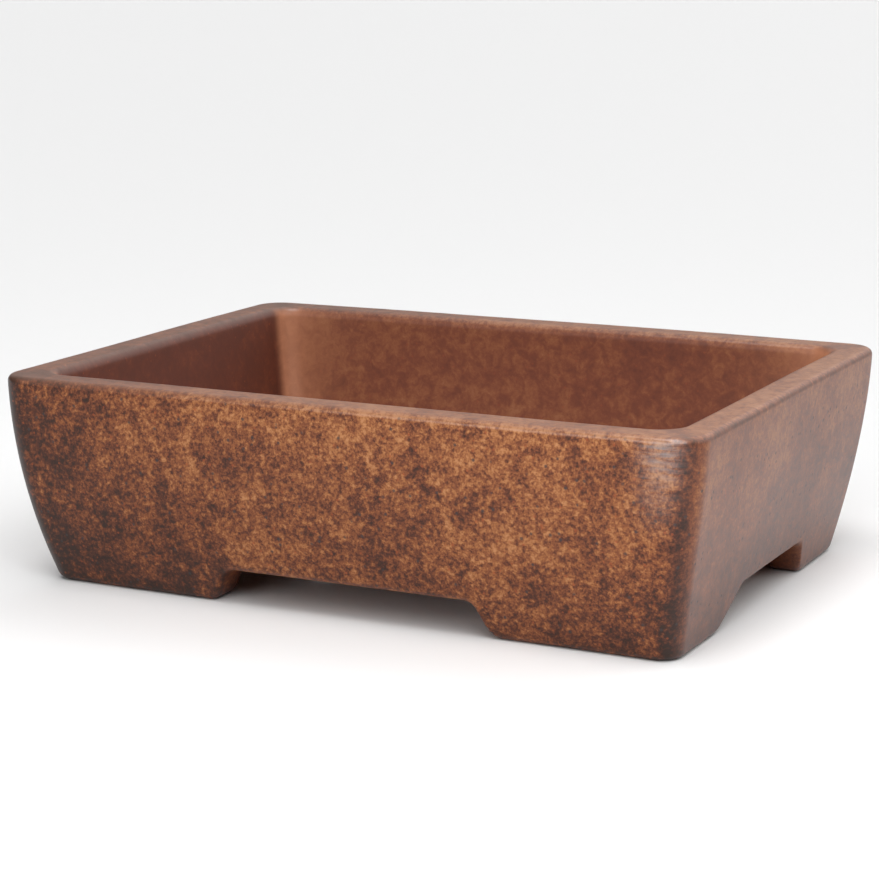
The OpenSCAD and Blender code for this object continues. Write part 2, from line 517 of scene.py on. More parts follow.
def tube(path: np.ndarray, radius: float | np.ndarray, sides: int) -> tuple[np.ndarray, list[np.ndarray]]:
    """Carry a circle along an open path, and close both ends with a shallow dome.

    A point is path(s) + radius(s) * (cos(a) * side(s) + sin(a) * up(s)). The frame
    is turned from point to point by the least angle, so the tube doesn't twist.

    Args:
        path: Points of the centre line, one row each.
        radius: The tube's radius, the same all along or one value for each point.
        sides: Number of points round the tube.

    Returns:
        The vertices and the faces.
    """
    along = unit(np.gradient(path, axis=0))
    side = np.empty_like(path)
    start = np.cross(along[0], (0.0, 0.0, 1.0))
    if np.linalg.norm(start) < 0.1:
        start = np.cross(along[0], (0.0, 1.0, 0.0))
    side[0] = unit(start)
    for index in range(1, len(path)):
        turned = side[index - 1] - along[index] * np.dot(side[index - 1], along[index])
        side[index] = unit(turned)
    up = np.cross(along, side)
    reach = np.broadcast_to(np.asarray(radius, dtype=float), (len(path),))
    angle = np.linspace(0, 2 * math.pi, sides, endpoint=False)
    dome = np.array(DOME_RINGS)
    lift = np.sqrt(1 - dome**2) * DOME_HEIGHT
    head = path[0] - np.outer(lift, along[0]) * reach[0]
    tail = path[-1] + np.outer(lift[::-1], along[-1]) * reach[-1]
    first, last = [0] * (len(dome) - 1), [-1] * (len(dome) - 1)
    centre = np.concatenate([head[1:], path, tail[:-1]])[:, None]
    across = np.concatenate([side[first], side, side[last]])[:, None]
    above = np.concatenate([up[first], up, up[last]])[:, None]
    size = np.concatenate([reach[0] * dome[1:], reach, reach[-1] * dome[:0:-1]])[:, None, None]
    wall = centre + size * (np.cos(angle)[:, None] * across + np.sin(angle)[:, None] * above)
    points = np.concatenate([wall.reshape(-1, 3), head[:1], tail[-1:]])
    count = len(centre)
    body = grid_faces(count, sides)[:, ::-1]
    ring = np.arange(sides)
    after = (ring + 1) % sides
    near_end = np.stack([np.full(sides, count * sides), after, ring], axis=1)
    base = (count - 1) * sides
    far_end = np.stack([np.full(sides, count * sides + 1), base + ring, base + after], axis=1)
    return points, [body, near_end, far_end]


def joined(parts: Sequence[tuple[np.ndarray, list[np.ndarray]]]) -> tuple[np.ndarray, list[np.ndarray]]:
    """Put several surfaces together.

    Args:
        parts: The vertices and faces of each surface.

    Returns:
        One set of vertices and faces.
    """
    starts = np.concatenate([[0], np.cumsum([len(points) for points, _ in parts])])
    faces = [block + start for (_, blocks), start in zip(parts, starts) for block in blocks]
    return np.concatenate([points for points, _ in parts]), faces


# --------------------------------------------------------------------------- the pot


@dataclass
class FootEnd:
    """The cut end of a foot: a convex toe, a straight slope and a concave arch.

    The outline gives the height of the wall's lower edge at a distance from the
    middle of the opening: the opening's height near the middle, 0 under the foot.
    """

    half_gap: float
    slope: float
    height: float
    toe: float = 5.5 * MM
    arch: float = 5.0 * MM

    def __post_init__(self) -> None:
        """Work out where the toe's and the arch's arcs begin and end."""
        sine, cosine, rise = math.sin(self.slope), math.cos(self.slope), math.tan(self.slope)
        self.toe_top = self.toe * (1 - cosine)
        self.arch_low = self.height - self.arch * (1 - cosine)
        self.slope_out = self.half_gap + (self.height / 2 - self.toe_top) / rise
        self.slope_in = self.half_gap - (self.arch_low - self.height / 2) / rise
        self.toe_out = self.slope_out + self.toe * sine
        self.arch_in = self.slope_in - self.arch * sine

    def lower_edge(self, distance: np.ndarray) -> np.ndarray:
        """Work out the height of the wall's lower edge.

        Args:
            distance: Distances from the opening's middle.

        Returns:
            The height at each distance.
        """
        toe_run = np.clip(self.toe_out - distance, 0, self.toe)
        arch_run = np.clip(distance - self.arch_in, 0, self.arch)
        on_toe = self.toe - np.sqrt(self.toe**2 - toe_run**2)
        on_arch = self.height - self.arch + np.sqrt(self.arch**2 - arch_run**2)
        on_slope = self.toe_top + (self.slope_out - distance) * math.tan(self.slope)
        places = [distance >= self.toe_out, distance >= self.slope_out, distance >= self.slope_in,
                  distance >= self.arch_in]
        return np.select(places, [np.zeros_like(distance), on_toe, on_slope, on_arch], self.height)


@dataclass
class Opening:
    """The gap between two feet along one wall."""

    shift: float
    ahead: FootEnd
    behind: FootEnd

    def lower_edge(self, along: np.ndarray) -> np.ndarray:
        """Height of the wall's lower edge at places along the wall."""
        place = along - self.shift
        return np.where(place > 0, self.ahead.lower_edge(place), self.behind.lower_edge(-place))

    def places(self, fine: float, coarse: float, end: float) -> np.ndarray:
        """Places along the wall for the surface's columns, close together at the feet's ends.

        Args:
            fine: Spacing across the ends of the feet.
            coarse: Spacing elsewhere.
            end: Half the length of the wall's straight part.

        Returns:
            The places, in rising order.
        """
        marks = [-end, self.shift - self.behind.toe_out - fine, self.shift - self.behind.arch_in + fine,
                 self.shift + self.ahead.arch_in - fine, self.shift + self.ahead.toe_out + fine, end]
        steps = [coarse, fine, coarse, fine, coarse]
        runs = [np.linspace(low, high, max(2, round((high - low) / step)), endpoint=False)
                for low, high, step in zip(marks, marks[1:], steps)]
        return np.concatenate([*runs, [end]])


@dataclass
class Columns:
    """The columns of the pot's surface, in order round the pot.

    Each column belongs to a wall or to a corner. angle is the way the wall faces
    there. x_side and y_side say on which side its corner centre lies, 0 where the
    column keeps its own place along a wall, and along is that place.
    """

    angle: np.ndarray
    x_side: np.ndarray
    y_side: np.ndarray
    along: np.ndarray
    kept: np.ndarray
    end: np.ndarray
    edge: np.ndarray
    most_kept: float = 0.9

    def place(self, half_x: np.ndarray, half_y: np.ndarray,
              corner: np.ndarray) -> tuple[np.ndarray, np.ndarray]:
        """Lay the columns on a rectangle with round corners.

        A place along a wall stays as it is up to kept, and from there to end it is
        stretched so that the wall meets its corner. On a small rectangle, kept draws in
        to the share most_kept of the straight part.

        Args:
            half_x: Half the rectangle's length, for each row and column.
            half_y: Half its depth.
            corner: Its corners' radius.

        Returns:
            x and y of each point.
        """
        reach_x, reach_y = half_x - corner, half_y - corner
        turn_x, turn_y = np.cos(self.angle), np.sin(self.angle)
        reach = np.where(self.x_side == 0, reach_x, reach_y)
        over = np.clip((np.abs(self.along) - self.kept) / (self.end - self.kept), 0, None)
        kept = np.minimum(self.kept, self.most_kept * reach)
        near = np.minimum(np.abs(self.along), self.kept) * kept / self.kept
        slid = np.sign(self.along) * (near + over * (reach - kept))
        centre_x = np.where(self.x_side == 0, -turn_y * slid, self.x_side * reach_x)
        centre_y = np.where(self.y_side == 0, turn_x * slid, self.y_side * reach_y)
        return centre_x + corner * turn_x, centre_y + corner * turn_y


@dataclass
class Handwork:
    """Slight unevenness of a pot pressed and cut by hand, as a smooth shift of space."""

    swing: float = 0.28 * MM
    longest: float = 150 * MM
    shortest: float = 55 * MM
    waves: int = 14
    bow: float = 1.6 * MM
    bow_at: float = 100 * MM
    seed: int = 11

    def shift(self, points: np.ndarray, half_depth: float, height: float) -> np.ndarray:
        """Move points by a sum of sine waves, and draw in the ends of the back wall.

        The level shift is sum(a_i sin(k_i . p + f_i)) for random directions k_i. The
        upright shift fades to nothing at the ground. The back wall's bow is
        -bow (x / bow_at)^2, from the middle of the pot to its back.

        Args:
            points: The points, one row each.
            half_depth: Half the pot's depth.
            height: The pot's height.

        Returns:
            The shifted points.
        """
        chance = np.random.default_rng(self.seed)
        lengths = np.geomspace(self.longest, self.shortest, self.waves)
        facing = unit(chance.normal(size=(self.waves, 3))) * (2 * math.pi / lengths)[:, None]
        phase = chance.uniform(0, 2 * math.pi, size=(3, self.waves))
        size = lengths / lengths.sum()
        swell = [(np.sin(points @ facing.T + phase[axis]) * size).sum(axis=1) for axis in range(3)]
        moved = points.copy()
        moved[:, 0] += self.swing * 2 * swell[0]
        moved[:, 1] += self.swing * 2 * swell[1]
        moved[:, 2] += self.swing * swell[2] * np.clip(points[:, 2] / height, 0, 1)
        back = np.clip(points[:, 1] / half_depth, 0, 1) ** 2
        moved[:, 1] -= self.bow * (points[:, 0] / self.bow_at) ** 2 * back
        return moved


@dataclass(frozen=True)
class ToneAndLight:
    """Shifts of the clay's tone and shares of its finishes, most of them painted light and shade.

    A positive shift makes the clay paler. Lengths say how far a change reaches.
    """

    # painted shade and light outside: darker low down, where the wall curves under, and towards the left,
    # away from the key light, a little paler to the right; the corner band is partly darker clay and partly
    # painted shade; ground darkens a strip at the ground
    upward: float = 0.22
    rightward: float = 0.02
    left_end: float = -0.24
    left_from: float = -0.1
    left_spared: float = 0.6
    corner: float = -0.36
    corner_offset: float = 1.5 * MM
    corner_reach: float = 4.5 * MM
    ground: float = -0.10
    ground_reach: float = 5 * MM
    end_wall: float = -0.05
    # painted light: the rim paler towards the right
    rim_light_rightward: float = 0.14
    # painted highlight on the outer fillet of the long walls, brighter towards the right
    fillet_highlight: float = 0.7
    fillet_from: float = -0.75
    fillet_rate: float = 1.6
    end_fillet: float = -2.0
    # painted light on the back wall inside, painted shade on the left wall inside
    back_inside_light: float = 0.08
    left_inside_shade: float = -0.32
    # painted highlight in the inner corners
    corner_highlight_turn: tuple[float, ...] = (0, 14, 34, 60, 90)
    corner_highlight_share: tuple[float, ...] = (0, 0.1, 1.0, 1.0, 0.7)
    corner_highlight_reach: float = 14 * MM
    # painted sheen: a grey reflection patch beside the upper right corner of a long wall
    sheen_from: float = 11 * MM
    sheen_reach: float = 6 * MM
    sheen_foot: float = 0.55
    sheen_rise: float = 0.4
    sheen_curve: float = 1.3
    end_polish: float = 0.25
    blend_width: float = 14 * MM

    def end_share(self, gap_x: np.ndarray, gap_y: np.ndarray) -> np.ndarray:
        """Share of each point in the end walls, by its gaps to the end and to the long wall."""
        return np.clip((gap_y - gap_x) / self.blend_width + 0.5, 0, 1)

    def painted_sheen_share(self, right_gap: np.ndarray, rise: np.ndarray) -> np.ndarray:
        """Find the painted sheen, a grey patch of painted reflection beside the upper corner at the right
        of a long wall.

        Args:
            right_gap: Distance of each point from its long wall's right end.
            rise: Its height, as a share of the pot's.

        Returns:
            The share of painted sheen, exp(-((gap - from) / reach)^2), fading downwards.
        """
        beside = np.exp(-(((right_gap - self.sheen_from) / self.sheen_reach) ** 2))
        return beside * np.clip((rise - self.sheen_foot) / self.sheen_rise, 0, 1) ** self.sheen_curve

    def outer_tint(self, points: np.ndarray, gap_x: np.ndarray, gap_y: np.ndarray, rise: np.ndarray,
                   run: np.ndarray) -> np.ndarray:
        """Paint shade on the outside: darker low down and at the left, a little paler to the right, a dark
        band at the corners that is partly darker clay and partly painted shade, and a darker strip at the
        ground.

        Args:
            points: The points, one row each.
            gap_x: Distance of each point from its end wall's outer side.
            gap_y: Distance from its long wall's outer side.
            rise: Height as a share of the pot's.
            run: Place along the pot, from -1 to 1.

        Returns:
            A shift of the clay's tone for each point, mostly painted shade.
        """
        turn = np.exp(-(((gap_x - gap_y - self.corner_offset) / self.corner_reach) ** 2))
        near_ground = np.exp(-((points[:, 2] / self.ground_reach) ** 2))
        left = np.clip((self.left_from - run) / (1 + self.left_from), 0, 1)
        left *= 1 - self.left_spared * self.end_share(gap_x, gap_y)
        level = self.upward * (rise - 0.5) + self.rightward * run
        return level + self.left_end * left + self.corner * turn + self.ground * near_ground

    def hollow_shares(self, columns: Columns) -> tuple[np.ndarray, np.ndarray]:
        """Paint light and shade inside, by column: the back wall paler, the left wall darker.

        A painted highlight lies in the corners, by the listed shares where the wall has turned by the
        listed angles from the end wall. The pale part starts sharply there, and it fades along the long
        wall as exp(-distance / reach).

        Args:
            columns: The pot's columns.

        Returns:
            A painted shift of the clay's tone and the share of painted highlight, for each column.
        """
        turn = columns.angle
        back, left = np.clip(np.sin(turn), 0, 1) ** 2, np.clip(-np.cos(turn), 0, 1) ** 2
        from_end = np.degrees(np.arccos(np.clip(np.abs(np.cos(turn)), 0, 1)))
        turned = np.interp(from_end, self.corner_highlight_turn, self.corner_highlight_share)
        gap = columns.end - np.abs(columns.along)
        fade = np.where(columns.x_side == 0, np.exp(-gap / self.corner_highlight_reach), 1)
        return self.back_inside_light * back + self.left_inside_shade * left, turned * fade


@dataclass
class PotBody:
    """The fired clay: walls, rim, floor and four cut feet in one closed surface."""

    height: float
    floor_top: float
    foot_height: float
    drain_places: list[tuple[float, float]]
    tie_places: list[tuple[float, float]]
    tie_radius: float
    half_length: float = 125 * MM
    half_depth: float = 90 * MM
    drain_radius: float = 12 * MM
    wall: float = 12.8 * MM
    end_lean: float = 11.1 * MM
    end_bow: float = 1.5
    side_lean: float = 12.4 * MM
    side_bow: float = 2.25
    rim_corner: float = 10.5 * MM
    base_corner: float = 7.5 * MM
    inner_corner: float = 8 * MM
    rim_outer: float = 2.3 * MM
    rim_inner: float = 3.5 * MM
    ground_edge: float = 2.3 * MM
    cove: float = 8 * MM
    foot_thickness: float = 11 * MM
    front_half_gap: float = 47.6 * MM
    front_shift: float = 2.6 * MM
    end_half_gap: float = 34.4 * MM
    steep: float = math.radians(66)
    gentle: float = math.radians(38)
    hole_edge: float = 1.2 * MM
    inner_edge: float = 1.5 * MM
    draft: float = 0.8 * MM
    flat_gaps: tuple[float, ...] = (12 * MM, 6 * MM, 2.5 * MM, 0.8 * MM)
    drain_sides: int = 72
    tie_sides: int = 32
    handwork: Handwork = field(default_factory=Handwork)
    tone_light: ToneAndLight = ToneAndLight()

    def __post_init__(self) -> None:
        """Set out the openings and the columns that they need."""
        steep_front = FootEnd(self.front_half_gap, self.steep, self.foot_height)
        steep_end = FootEnd(self.end_half_gap, self.steep, self.foot_height)
        gentle_end = FootEnd(self.end_half_gap, self.gentle, self.foot_height)
        front = Opening(self.front_shift, steep_front, steep_front)
        back = Opening(-self.front_shift, steep_front, steep_front)
        right = Opening(0.0, steep_end, gentle_end)
        left = Opening(0.0, gentle_end, steep_end)
        self.columns = self.set_out([right, back, left, front])

    def set_out(self, openings: list[Opening]) -> Columns:
        """Spread the surface's columns along the four walls and round the four corners.

        Args:
            openings: The openings of the right, back, left and front walls. Each is
                measured along its wall, counter-clockwise from above.

        Returns:
            The columns, counter-clockwise from above.
        """
        corner_steps, fine, coarse, spare = 16, 0.55 * MM, 3.4 * MM, 4 * MM
        turn = np.linspace(0, QUARTER, corner_steps + 1)[1:-1]
        runs: list[tuple] = []
        for number, opening in enumerate(openings):
            facing, middle = number * QUARTER, (number + 0.5) * QUARTER
            full = (self.half_length if number % 2 else self.half_depth) - self.rim_corner
            keep = max(opening.ahead.toe_out, opening.behind.toe_out) + abs(opening.shift) + spare
            places = opening.places(fine, coarse, full)
            x_side, y_side = round(math.cos(facing)), round(math.sin(facing))
            runs.append((facing, x_side, y_side, places, keep, full, opening.lower_edge(places)))
            x_side, y_side = np.sign(math.cos(middle)), np.sign(math.sin(middle))
            runs.append((facing + turn, x_side, y_side, 0.0, keep, full, 0.0))
        spread = [np.broadcast_arrays(*run) for run in runs]
        return Columns(*(np.concatenate(part) for part in zip(*spread)))

    def outer(self, z: np.ndarray) -> tuple[np.ndarray, np.ndarray, np.ndarray]:
        """Work out the outer wall, which draws in by lean * (share of the height above) ^ bow.

        Args:
            z: Heights.

        Returns:
            Half length, half depth and corner radius at each height.
        """
        share = np.clip((self.height - z) / self.height, 0, 1)
        half_x = self.half_length - self.end_lean * share**self.end_bow
        half_y = self.half_depth - self.side_lean * share**self.side_bow
        return half_x, half_y, self.rim_corner + (self.base_corner - self.rim_corner) * share

    def section(self) -> dict[str, np.ndarray]:
        """Work out the section at every column, from the floor inside to the underside.

        Returns:
            Arrays with one row for each level of the section: half_x, half_y, corner
            and z, and the shares rim and inside that the clay's finish reads.
        """
        edge = self.columns.edge
        rows: list[tuple] = []

        def add(*level: Any) -> None:
            """Add one level, with its numbers spread over all columns."""
            rows.append(tuple(np.broadcast_to(np.asarray(part, dtype=float), edge.shape) for part in level))

        def inner(z: float, inset: float, rim: float) -> None:
            """Add a level of the inner surface.

            Args:
                z: Its height.
                inset: How far the cove draws it in, or below 0 how far the rim's edge opens it.
                rim: Its share of rim.
            """
            half_x, half_y, _ = self.outer(np.float64(z))
            drawn = self.wall + inset
            add(half_x - drawn, half_y - drawn, self.inner_corner - min(inset, 0), z, rim, 1.0 - rim)

        for gap in self.flat_gaps:
            inner(self.floor_top, self.cove + gap, 0.0)
        for turn in np.linspace(0, QUARTER, 10):
            inner(self.floor_top + self.cove * (1 - math.cos(turn)), self.cove * (1 - math.sin(turn)), 0.0)
        for z in np.linspace(self.floor_top + self.cove, self.height - self.rim_inner, 20)[1:-1]:
            inner(z, 0.0, 0.0)
        for turn in np.linspace(0, QUARTER, 10):
            z = self.height - self.rim_inner * (1 - math.sin(turn))
            inner(z, -self.rim_inner * (1 - math.cos(turn)), math.sin(turn) ** 2)
        mouth = rows[-1][:3]
        half_x, half_y, corner = self.outer(np.float64(self.height))
        flat = (half_x - self.rim_outer, half_y - self.rim_outer, corner - self.rim_outer)
        for share in (0.25, 0.5, 0.75):
            mixed = [low + (high - low) * share for low, high in zip(mouth, flat)]
            add(*mixed, self.height, 1.0, 0.0)
        for turn in np.linspace(0, QUARTER, 8):
            z = self.height - self.rim_outer * (1 - math.cos(turn))
            inset = self.rim_outer * (1 - math.sin(turn))
            half_x, half_y, corner = self.outer(np.float64(z))
            add(half_x - inset, half_y - inset, corner - inset, z, math.cos(turn), 0.0)
        top = self.height - self.rim_outer
        for share in np.linspace(0, 1, 36)[1:-1]:
            z = top + (edge + self.ground_edge - top) * share
            add(*self.outer(z), z, 0.0, 0.0)
        for turn in np.linspace(0, QUARTER, 8):
            z = edge + self.ground_edge * (1 - math.sin(turn))
            inset = self.ground_edge * (1 - math.cos(turn))
            half_x, half_y, corner = self.outer(z)
            add(half_x - inset, half_y - inset, corner - inset, z, 0.0, 0.0)
        self.add_underside(rows, add)
        names = ("half_x", "half_y", "corner", "z", "rim", "inside")
        return {name: np.stack([level[index] for level in rows]) for index, name in enumerate(names)}

    def add_underside(self, rows: list[tuple], add: Any) -> None:
        """Add the feet's undersides, their inner faces and the edge of the floor's underside.

        Where a wall's lower edge rises to the underside, the inner face of its foot
        shrinks to nothing. The share inside, the last number of a level, grows on the way.

        Args:
            rows: The levels so far, of which the last is the outer wall's lower edge.
            add: Adds one level.
        """
        edge = self.columns.edge
        base_x, base_y, _ = self.outer(np.float64(0.0))
        leg = (base_x - self.foot_thickness, base_y - self.foot_thickness, self.base_corner - 1 * MM)
        start = rows[-1][:3]
        lip = [leg[0] + self.inner_edge, leg[1] + self.inner_edge, leg[2] + 0.5 * MM]
        for share in (0.12, 0.37, 0.63, 0.88):
            mixed = [low + (high - low) * share for low, high in zip(start, lip)]
            add(*mixed, edge, 0.0, 0.3)
        rise = self.foot_height - edge
        scale = np.minimum(1.0, rise / (2 * self.inner_edge))
        for turn in np.linspace(0, QUARTER, 5):
            inset = self.inner_edge * (1 - math.sin(turn))
            lift = self.inner_edge * (1 - math.cos(turn)) * scale
            add(leg[0] + inset, leg[1] + inset, leg[2] + inset / 3, edge + lift, 0.0, 0.4)
        low = edge + self.inner_edge * scale
        high = self.foot_height - self.inner_edge * scale
        for share in (0.25, 0.5, 0.75):
            drawn = self.draft * share
            add(leg[0] - drawn, leg[1] - drawn, leg[2], low + (high - low) * share, 0.0, 0.6)
        for turn in np.linspace(0, QUARTER, 5):
            drawn = self.draft + self.inner_edge * (1 - math.cos(turn))
            lift = self.inner_edge * (1 - math.sin(turn)) * scale
            add(leg[0] - drawn, leg[1] - drawn, leg[2] + drawn / 2, self.foot_height - lift, 0.0, 0.8)
        for gap in self.flat_gaps[::-1]:
            drawn = self.draft + self.inner_edge + gap
            add(leg[0] - drawn, leg[1] - drawn, leg[2] + drawn / 2, self.foot_height, 0.0, 0.8)

    def hole(self, place: tuple[float, float], radius: float, sides: int) -> np.ndarray:
        """Rings of a hole through the floor, from its upper rounded edge to its lower one.

        Args:
            place: x and y of the hole's axis.
            radius: The hole's radius.
            sides: Number of points in a ring.

        Returns:
            The points, as rings from the top down.
        """
        edge = min(self.hole_edge, radius / 2)
        turn = np.linspace(0, QUARTER, 6)
        flare = radius + edge * (1 - np.sin(turn))
        drop = edge * (1 - np.cos(turn))
        outermost = [radius + edge * 1.6]
        reach = np.concatenate([outermost, flare, [radius] * 3, flare[::-1], outermost])
        top, low = self.floor_top, self.foot_height
        wall = np.linspace(top - edge, low + edge, 5)[1:-1]
        z = np.concatenate([[top], top - drop, wall, low + drop[::-1], [low]])
        angle = np.linspace(0, 2 * math.pi, sides, endpoint=False)
        x = place[0] + reach[:, None] * np.cos(angle)
        y = place[1] + reach[:, None] * np.sin(angle)
        return np.stack([x, y, np.broadcast_to(z[:, None], x.shape)], axis=-1)

    def cap(self, outline: np.ndarray, rings: list[np.ndarray], z: float) -> tuple[np.ndarray, np.ndarray]:
        """Fill a level face between its outline and its holes with triangles.

        Args:
            outline: x and y of the outline, counter-clockwise.
            rings: x and y of each hole's circle, counter-clockwise.
            z: Height of the face.

        Returns:
            The extra points inside the face, and the triangles, counter-clockwise
            from above. Points count from the outline, then the holes, then the extra
            points.
        """
        spacing, clear = 5.5 * MM, 3.0 * MM
        span = np.abs(outline).max(axis=0)
        x, y = np.meshgrid(np.arange(-span[0], span[0], spacing), np.arange(-span[1], span[1], spacing))
        spots = np.stack([x.ravel(), y.ravel()], axis=1)
        keep = (np.abs(spots) < span - clear).all(axis=1)
        for ring in rings:
            middle = ring.mean(axis=0)
            keep &= np.linalg.norm(spots - middle, axis=1) > np.linalg.norm(ring[0] - middle) + clear
        spots = spots[keep]
        loops = [outline, *rings]
        flat = np.concatenate([*loops, spots])
        starts = np.concatenate([[0], np.cumsum([len(loop) for loop in loops])])
        edges = [(int(start + i), int(start + (i + 1) % len(loop)))
                 for start, loop in zip(starts, loops) for i in range(len(loop))]
        merge_below = 1e-7
        found = delaunay_2d_cdt([Vector(point) for point in flat], edges, [], 0, merge_below)
        source = np.array([origin[0] for origin in found[3]])
        triangles = source[np.array(found[2])]
        centre = flat[triangles].mean(axis=1)
        inside = np.ones(len(triangles), dtype=bool)
        for ring in rings:
            middle = ring.mean(axis=0)
            inside &= np.linalg.norm(centre - middle, axis=1) > np.linalg.norm(ring[0] - middle) * 0.995
        triangles = triangles[inside]
        a, b, c = (flat[triangles[:, corner]] for corner in range(3))
        turned = np.cross(b - a, c - a) < 0
        triangles[turned] = triangles[turned][:, ::-1]
        return np.column_stack([spots, np.full(len(spots), z)]), triangles

    def surface(self, levels: dict[str, np.ndarray]) -> tuple[np.ndarray, list[np.ndarray]]:
        """Carry the section round the pot, cut the holes and fill the two level faces.

        Args:
            levels: The section, as section() gives it.

        Returns:
            The vertices, of which the section's come first, and the faces.
        """
        rows, count = levels["z"].shape
        x, y = self.columns.place(levels["half_x"], levels["half_y"], levels["corner"])
        skin = np.stack([x, y, levels["z"]], axis=-1)
        parts = [skin.reshape(-1, 3)]
        faces = [grid_faces(rows, count)]
        holes = [self.hole(place, self.drain_radius, self.drain_sides) for place in self.drain_places]
        holes += [self.hole(place, self.tie_radius, self.tie_sides) for place in self.tie_places]
        starts = []
        total = rows * count
        for ring in holes:
            starts.append(total)
            faces.append(grid_faces(ring.shape[0], ring.shape[1], total)[:, ::-1])
            parts.append(ring.reshape(-1, 3))
            total += ring.shape[0] * ring.shape[1]
        for row, level, z in ((0, 0, self.floor_top), (rows - 1, -1, self.foot_height)):
            extra, triangles = self.cap(skin[row, :, :2], [ring[level, :, :2] for ring in holes], z)
            names = [row * count + np.arange(count)]
            for ring, start in zip(holes, starts):
                sides = ring.shape[1]
                names.append(start + (level % ring.shape[0]) * sides + np.arange(sides))
            names.append(total + np.arange(len(extra)))
            numbered = np.concatenate(names)[triangles]
            faces.append(numbered if level == 0 else numbered[:, ::-1])
            parts.append(extra)
            total += len(extra)
        return np.concatenate(parts), faces

    def shares(self, points: np.ndarray, levels: dict[str, np.ndarray]) -> dict[str, np.ndarray]:
        """Work out the numbers that the clay's finish reads at each vertex.

        Args:
            points: The vertices, of which the section's come first.
            levels: The section, as section() gives it.

        Returns:
            The shares rim, inside, side, painted sheen, painted corner highlight and polish, and the shift
            tint, which is mostly painted light and shade.
        """
        tone_light = self.tone_light
        rest = len(points) - levels["z"].size
        rim = np.append(levels["rim"].ravel(), np.zeros(rest))
        inside = np.append(levels["inside"].ravel(), np.ones(rest))
        above = np.clip((levels["z"] - self.floor_top) / (2 * self.cove), 0, 1) * levels["inside"]
        # painted light and shade on the inner walls, and a painted highlight in the inner corners
        hollow, wiped = (np.append((share * above).ravel(), np.zeros(rest))
                         for share in tone_light.hollow_shares(self.columns))
        half_x, half_y, _ = self.outer(points[:, 2])
        gap_x, gap_y = half_x - np.abs(points[:, 0]), half_y - np.abs(points[:, 1])
        rise, run = np.clip(points[:, 2] / self.height, 0, 1), points[:, 0] / self.half_length
        end, outside = tone_light.end_share(gap_x, gap_y), 1 - inside
        fillet = rim * (1 - rim) * outside
        side = end * outside * (1 - rim)
        # the tone shift: painted shade and light outside and inside, with some darker clay at the corners
        tint = tone_light.outer_tint(points, gap_x, gap_y, rise, run) * outside + hollow
        # painted highlight along the outer fillet of the long walls
        fillet_highlight = tone_light.fillet_highlight * np.clip(tone_light.fillet_rate * (run - tone_light.fillet_from), 0, 1)
        tint += fillet * (fillet_highlight + tone_light.end_fillet * end)
        # painted light on the rim, paler towards the right
        tint += tone_light.rim_light_rightward * rim * run + tone_light.end_wall * side
        # painted sheen: a grey reflection patch beside the upper right corner of each long wall
        right_gap = half_x + points[:, 0] * np.sign(points[:, 1])
        dense = tone_light.painted_sheen_share(right_gap, points[:, 2] / self.height) * (1 - end) * outside * (1 - rim)
        polish = np.clip(dense + 4 * fillet * (1 - end) + tone_light.end_polish * side, 0, 1)
        return {"rim": rim, "inside": inside, "tint": tint, "side": side, "polish": polish,
                "dense": dense, "wiped": wiped}

    def build(self, clay: bpy.types.Material) -> bpy.types.Object:
        """Make the pot as one closed mesh.

        Args:
            clay: The stoneware's finish.

        Returns:
            The pot.
        """
        levels = self.section()
        points, faces = self.surface(levels)
        shaped = self.handwork.shift(points, self.half_depth, self.height)
        pot = make_piece("stoneware_pot", shaped, faces, clay, self.shares(points, levels))
        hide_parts("pot_body")
        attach(pot, BODY)
        return pot


# --------------------------------------------------------------------------- netting and clips


@dataclass
class DrainScreen:
    """A square of moulded netting: one layer of strands across another, fused where they cross."""

    node: str
    name: str
    strand: float = 1.1 * MM
    pitch: float = 3.5 * MM
    knot: float = 1.14
    slim: float = 0.86
    layer: float = 0.04
    dome: float = 0.12 * MM
    sides: int = 10

    def build(self, plastic: bpy.types.Material) -> bpy.types.Object:
        """Make the netting in the space that its solid holds.

        A strand is a straight tube, flattened to an oval. Its radius swells by knot
        at each crossing: r (1 + (knot - 1) cos^8(pi s / pitch)).

        Args:
            plastic: The netting's finish.

        Returns:
            The netting.
        """
        low, high = (np.array(corner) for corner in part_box(self.node))
        centre, half = (low + high) / 2, (high - low) / 2
        thick = high[2] - low[2]
        count = round((2 * half[0] - self.strand) / self.pitch) + 1
        places = (np.arange(count) - (count - 1) / 2) * self.pitch
        reach = half[0] - self.dome
        along = np.linspace(-reach, reach, 12 * count)
        swell = np.cos(np.pi * (along - places[0]) / self.pitch) ** 8
        radius = thick / 2 * self.slim * (1 + (self.knot - 1) * swell)
        lower, upper = low[2] + thick * (0.5 - self.layer), low[2] + thick * (0.5 + self.layer)
        parts = []
        for place in places:
            lengthwise = np.column_stack(np.broadcast_arrays(centre[0] + along, centre[1] + place, lower))
            crosswise = np.column_stack(np.broadcast_arrays(centre[0] + place, centre[1] + along, upper))
            parts += [self.strand_mesh(path, radius, low[2], high[2]) for path in (lengthwise, crosswise)]
        points, faces = joined(parts)
        net = make_piece(self.name, points, faces, plastic)
        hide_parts(self.node)
        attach(net, BODY)
        return net

    def strand_mesh(self, path: np.ndarray, radius: np.ndarray, low: float,
                    high: float) -> tuple[np.ndarray, list[np.ndarray]]:
        """Make one strand: a tube whose height is held between the netting's two faces.

        Args:
            path: The strand's centre line.
            radius: Its radius at each point.
            low: Height of the netting's lower face.
            high: Height of its upper face.

        Returns:
            The vertices and the faces.
        """
        points, faces = tube(path, radius, self.sides)
        points[:, 2] = np.clip(points[:, 2], low, high)
        return points, faces


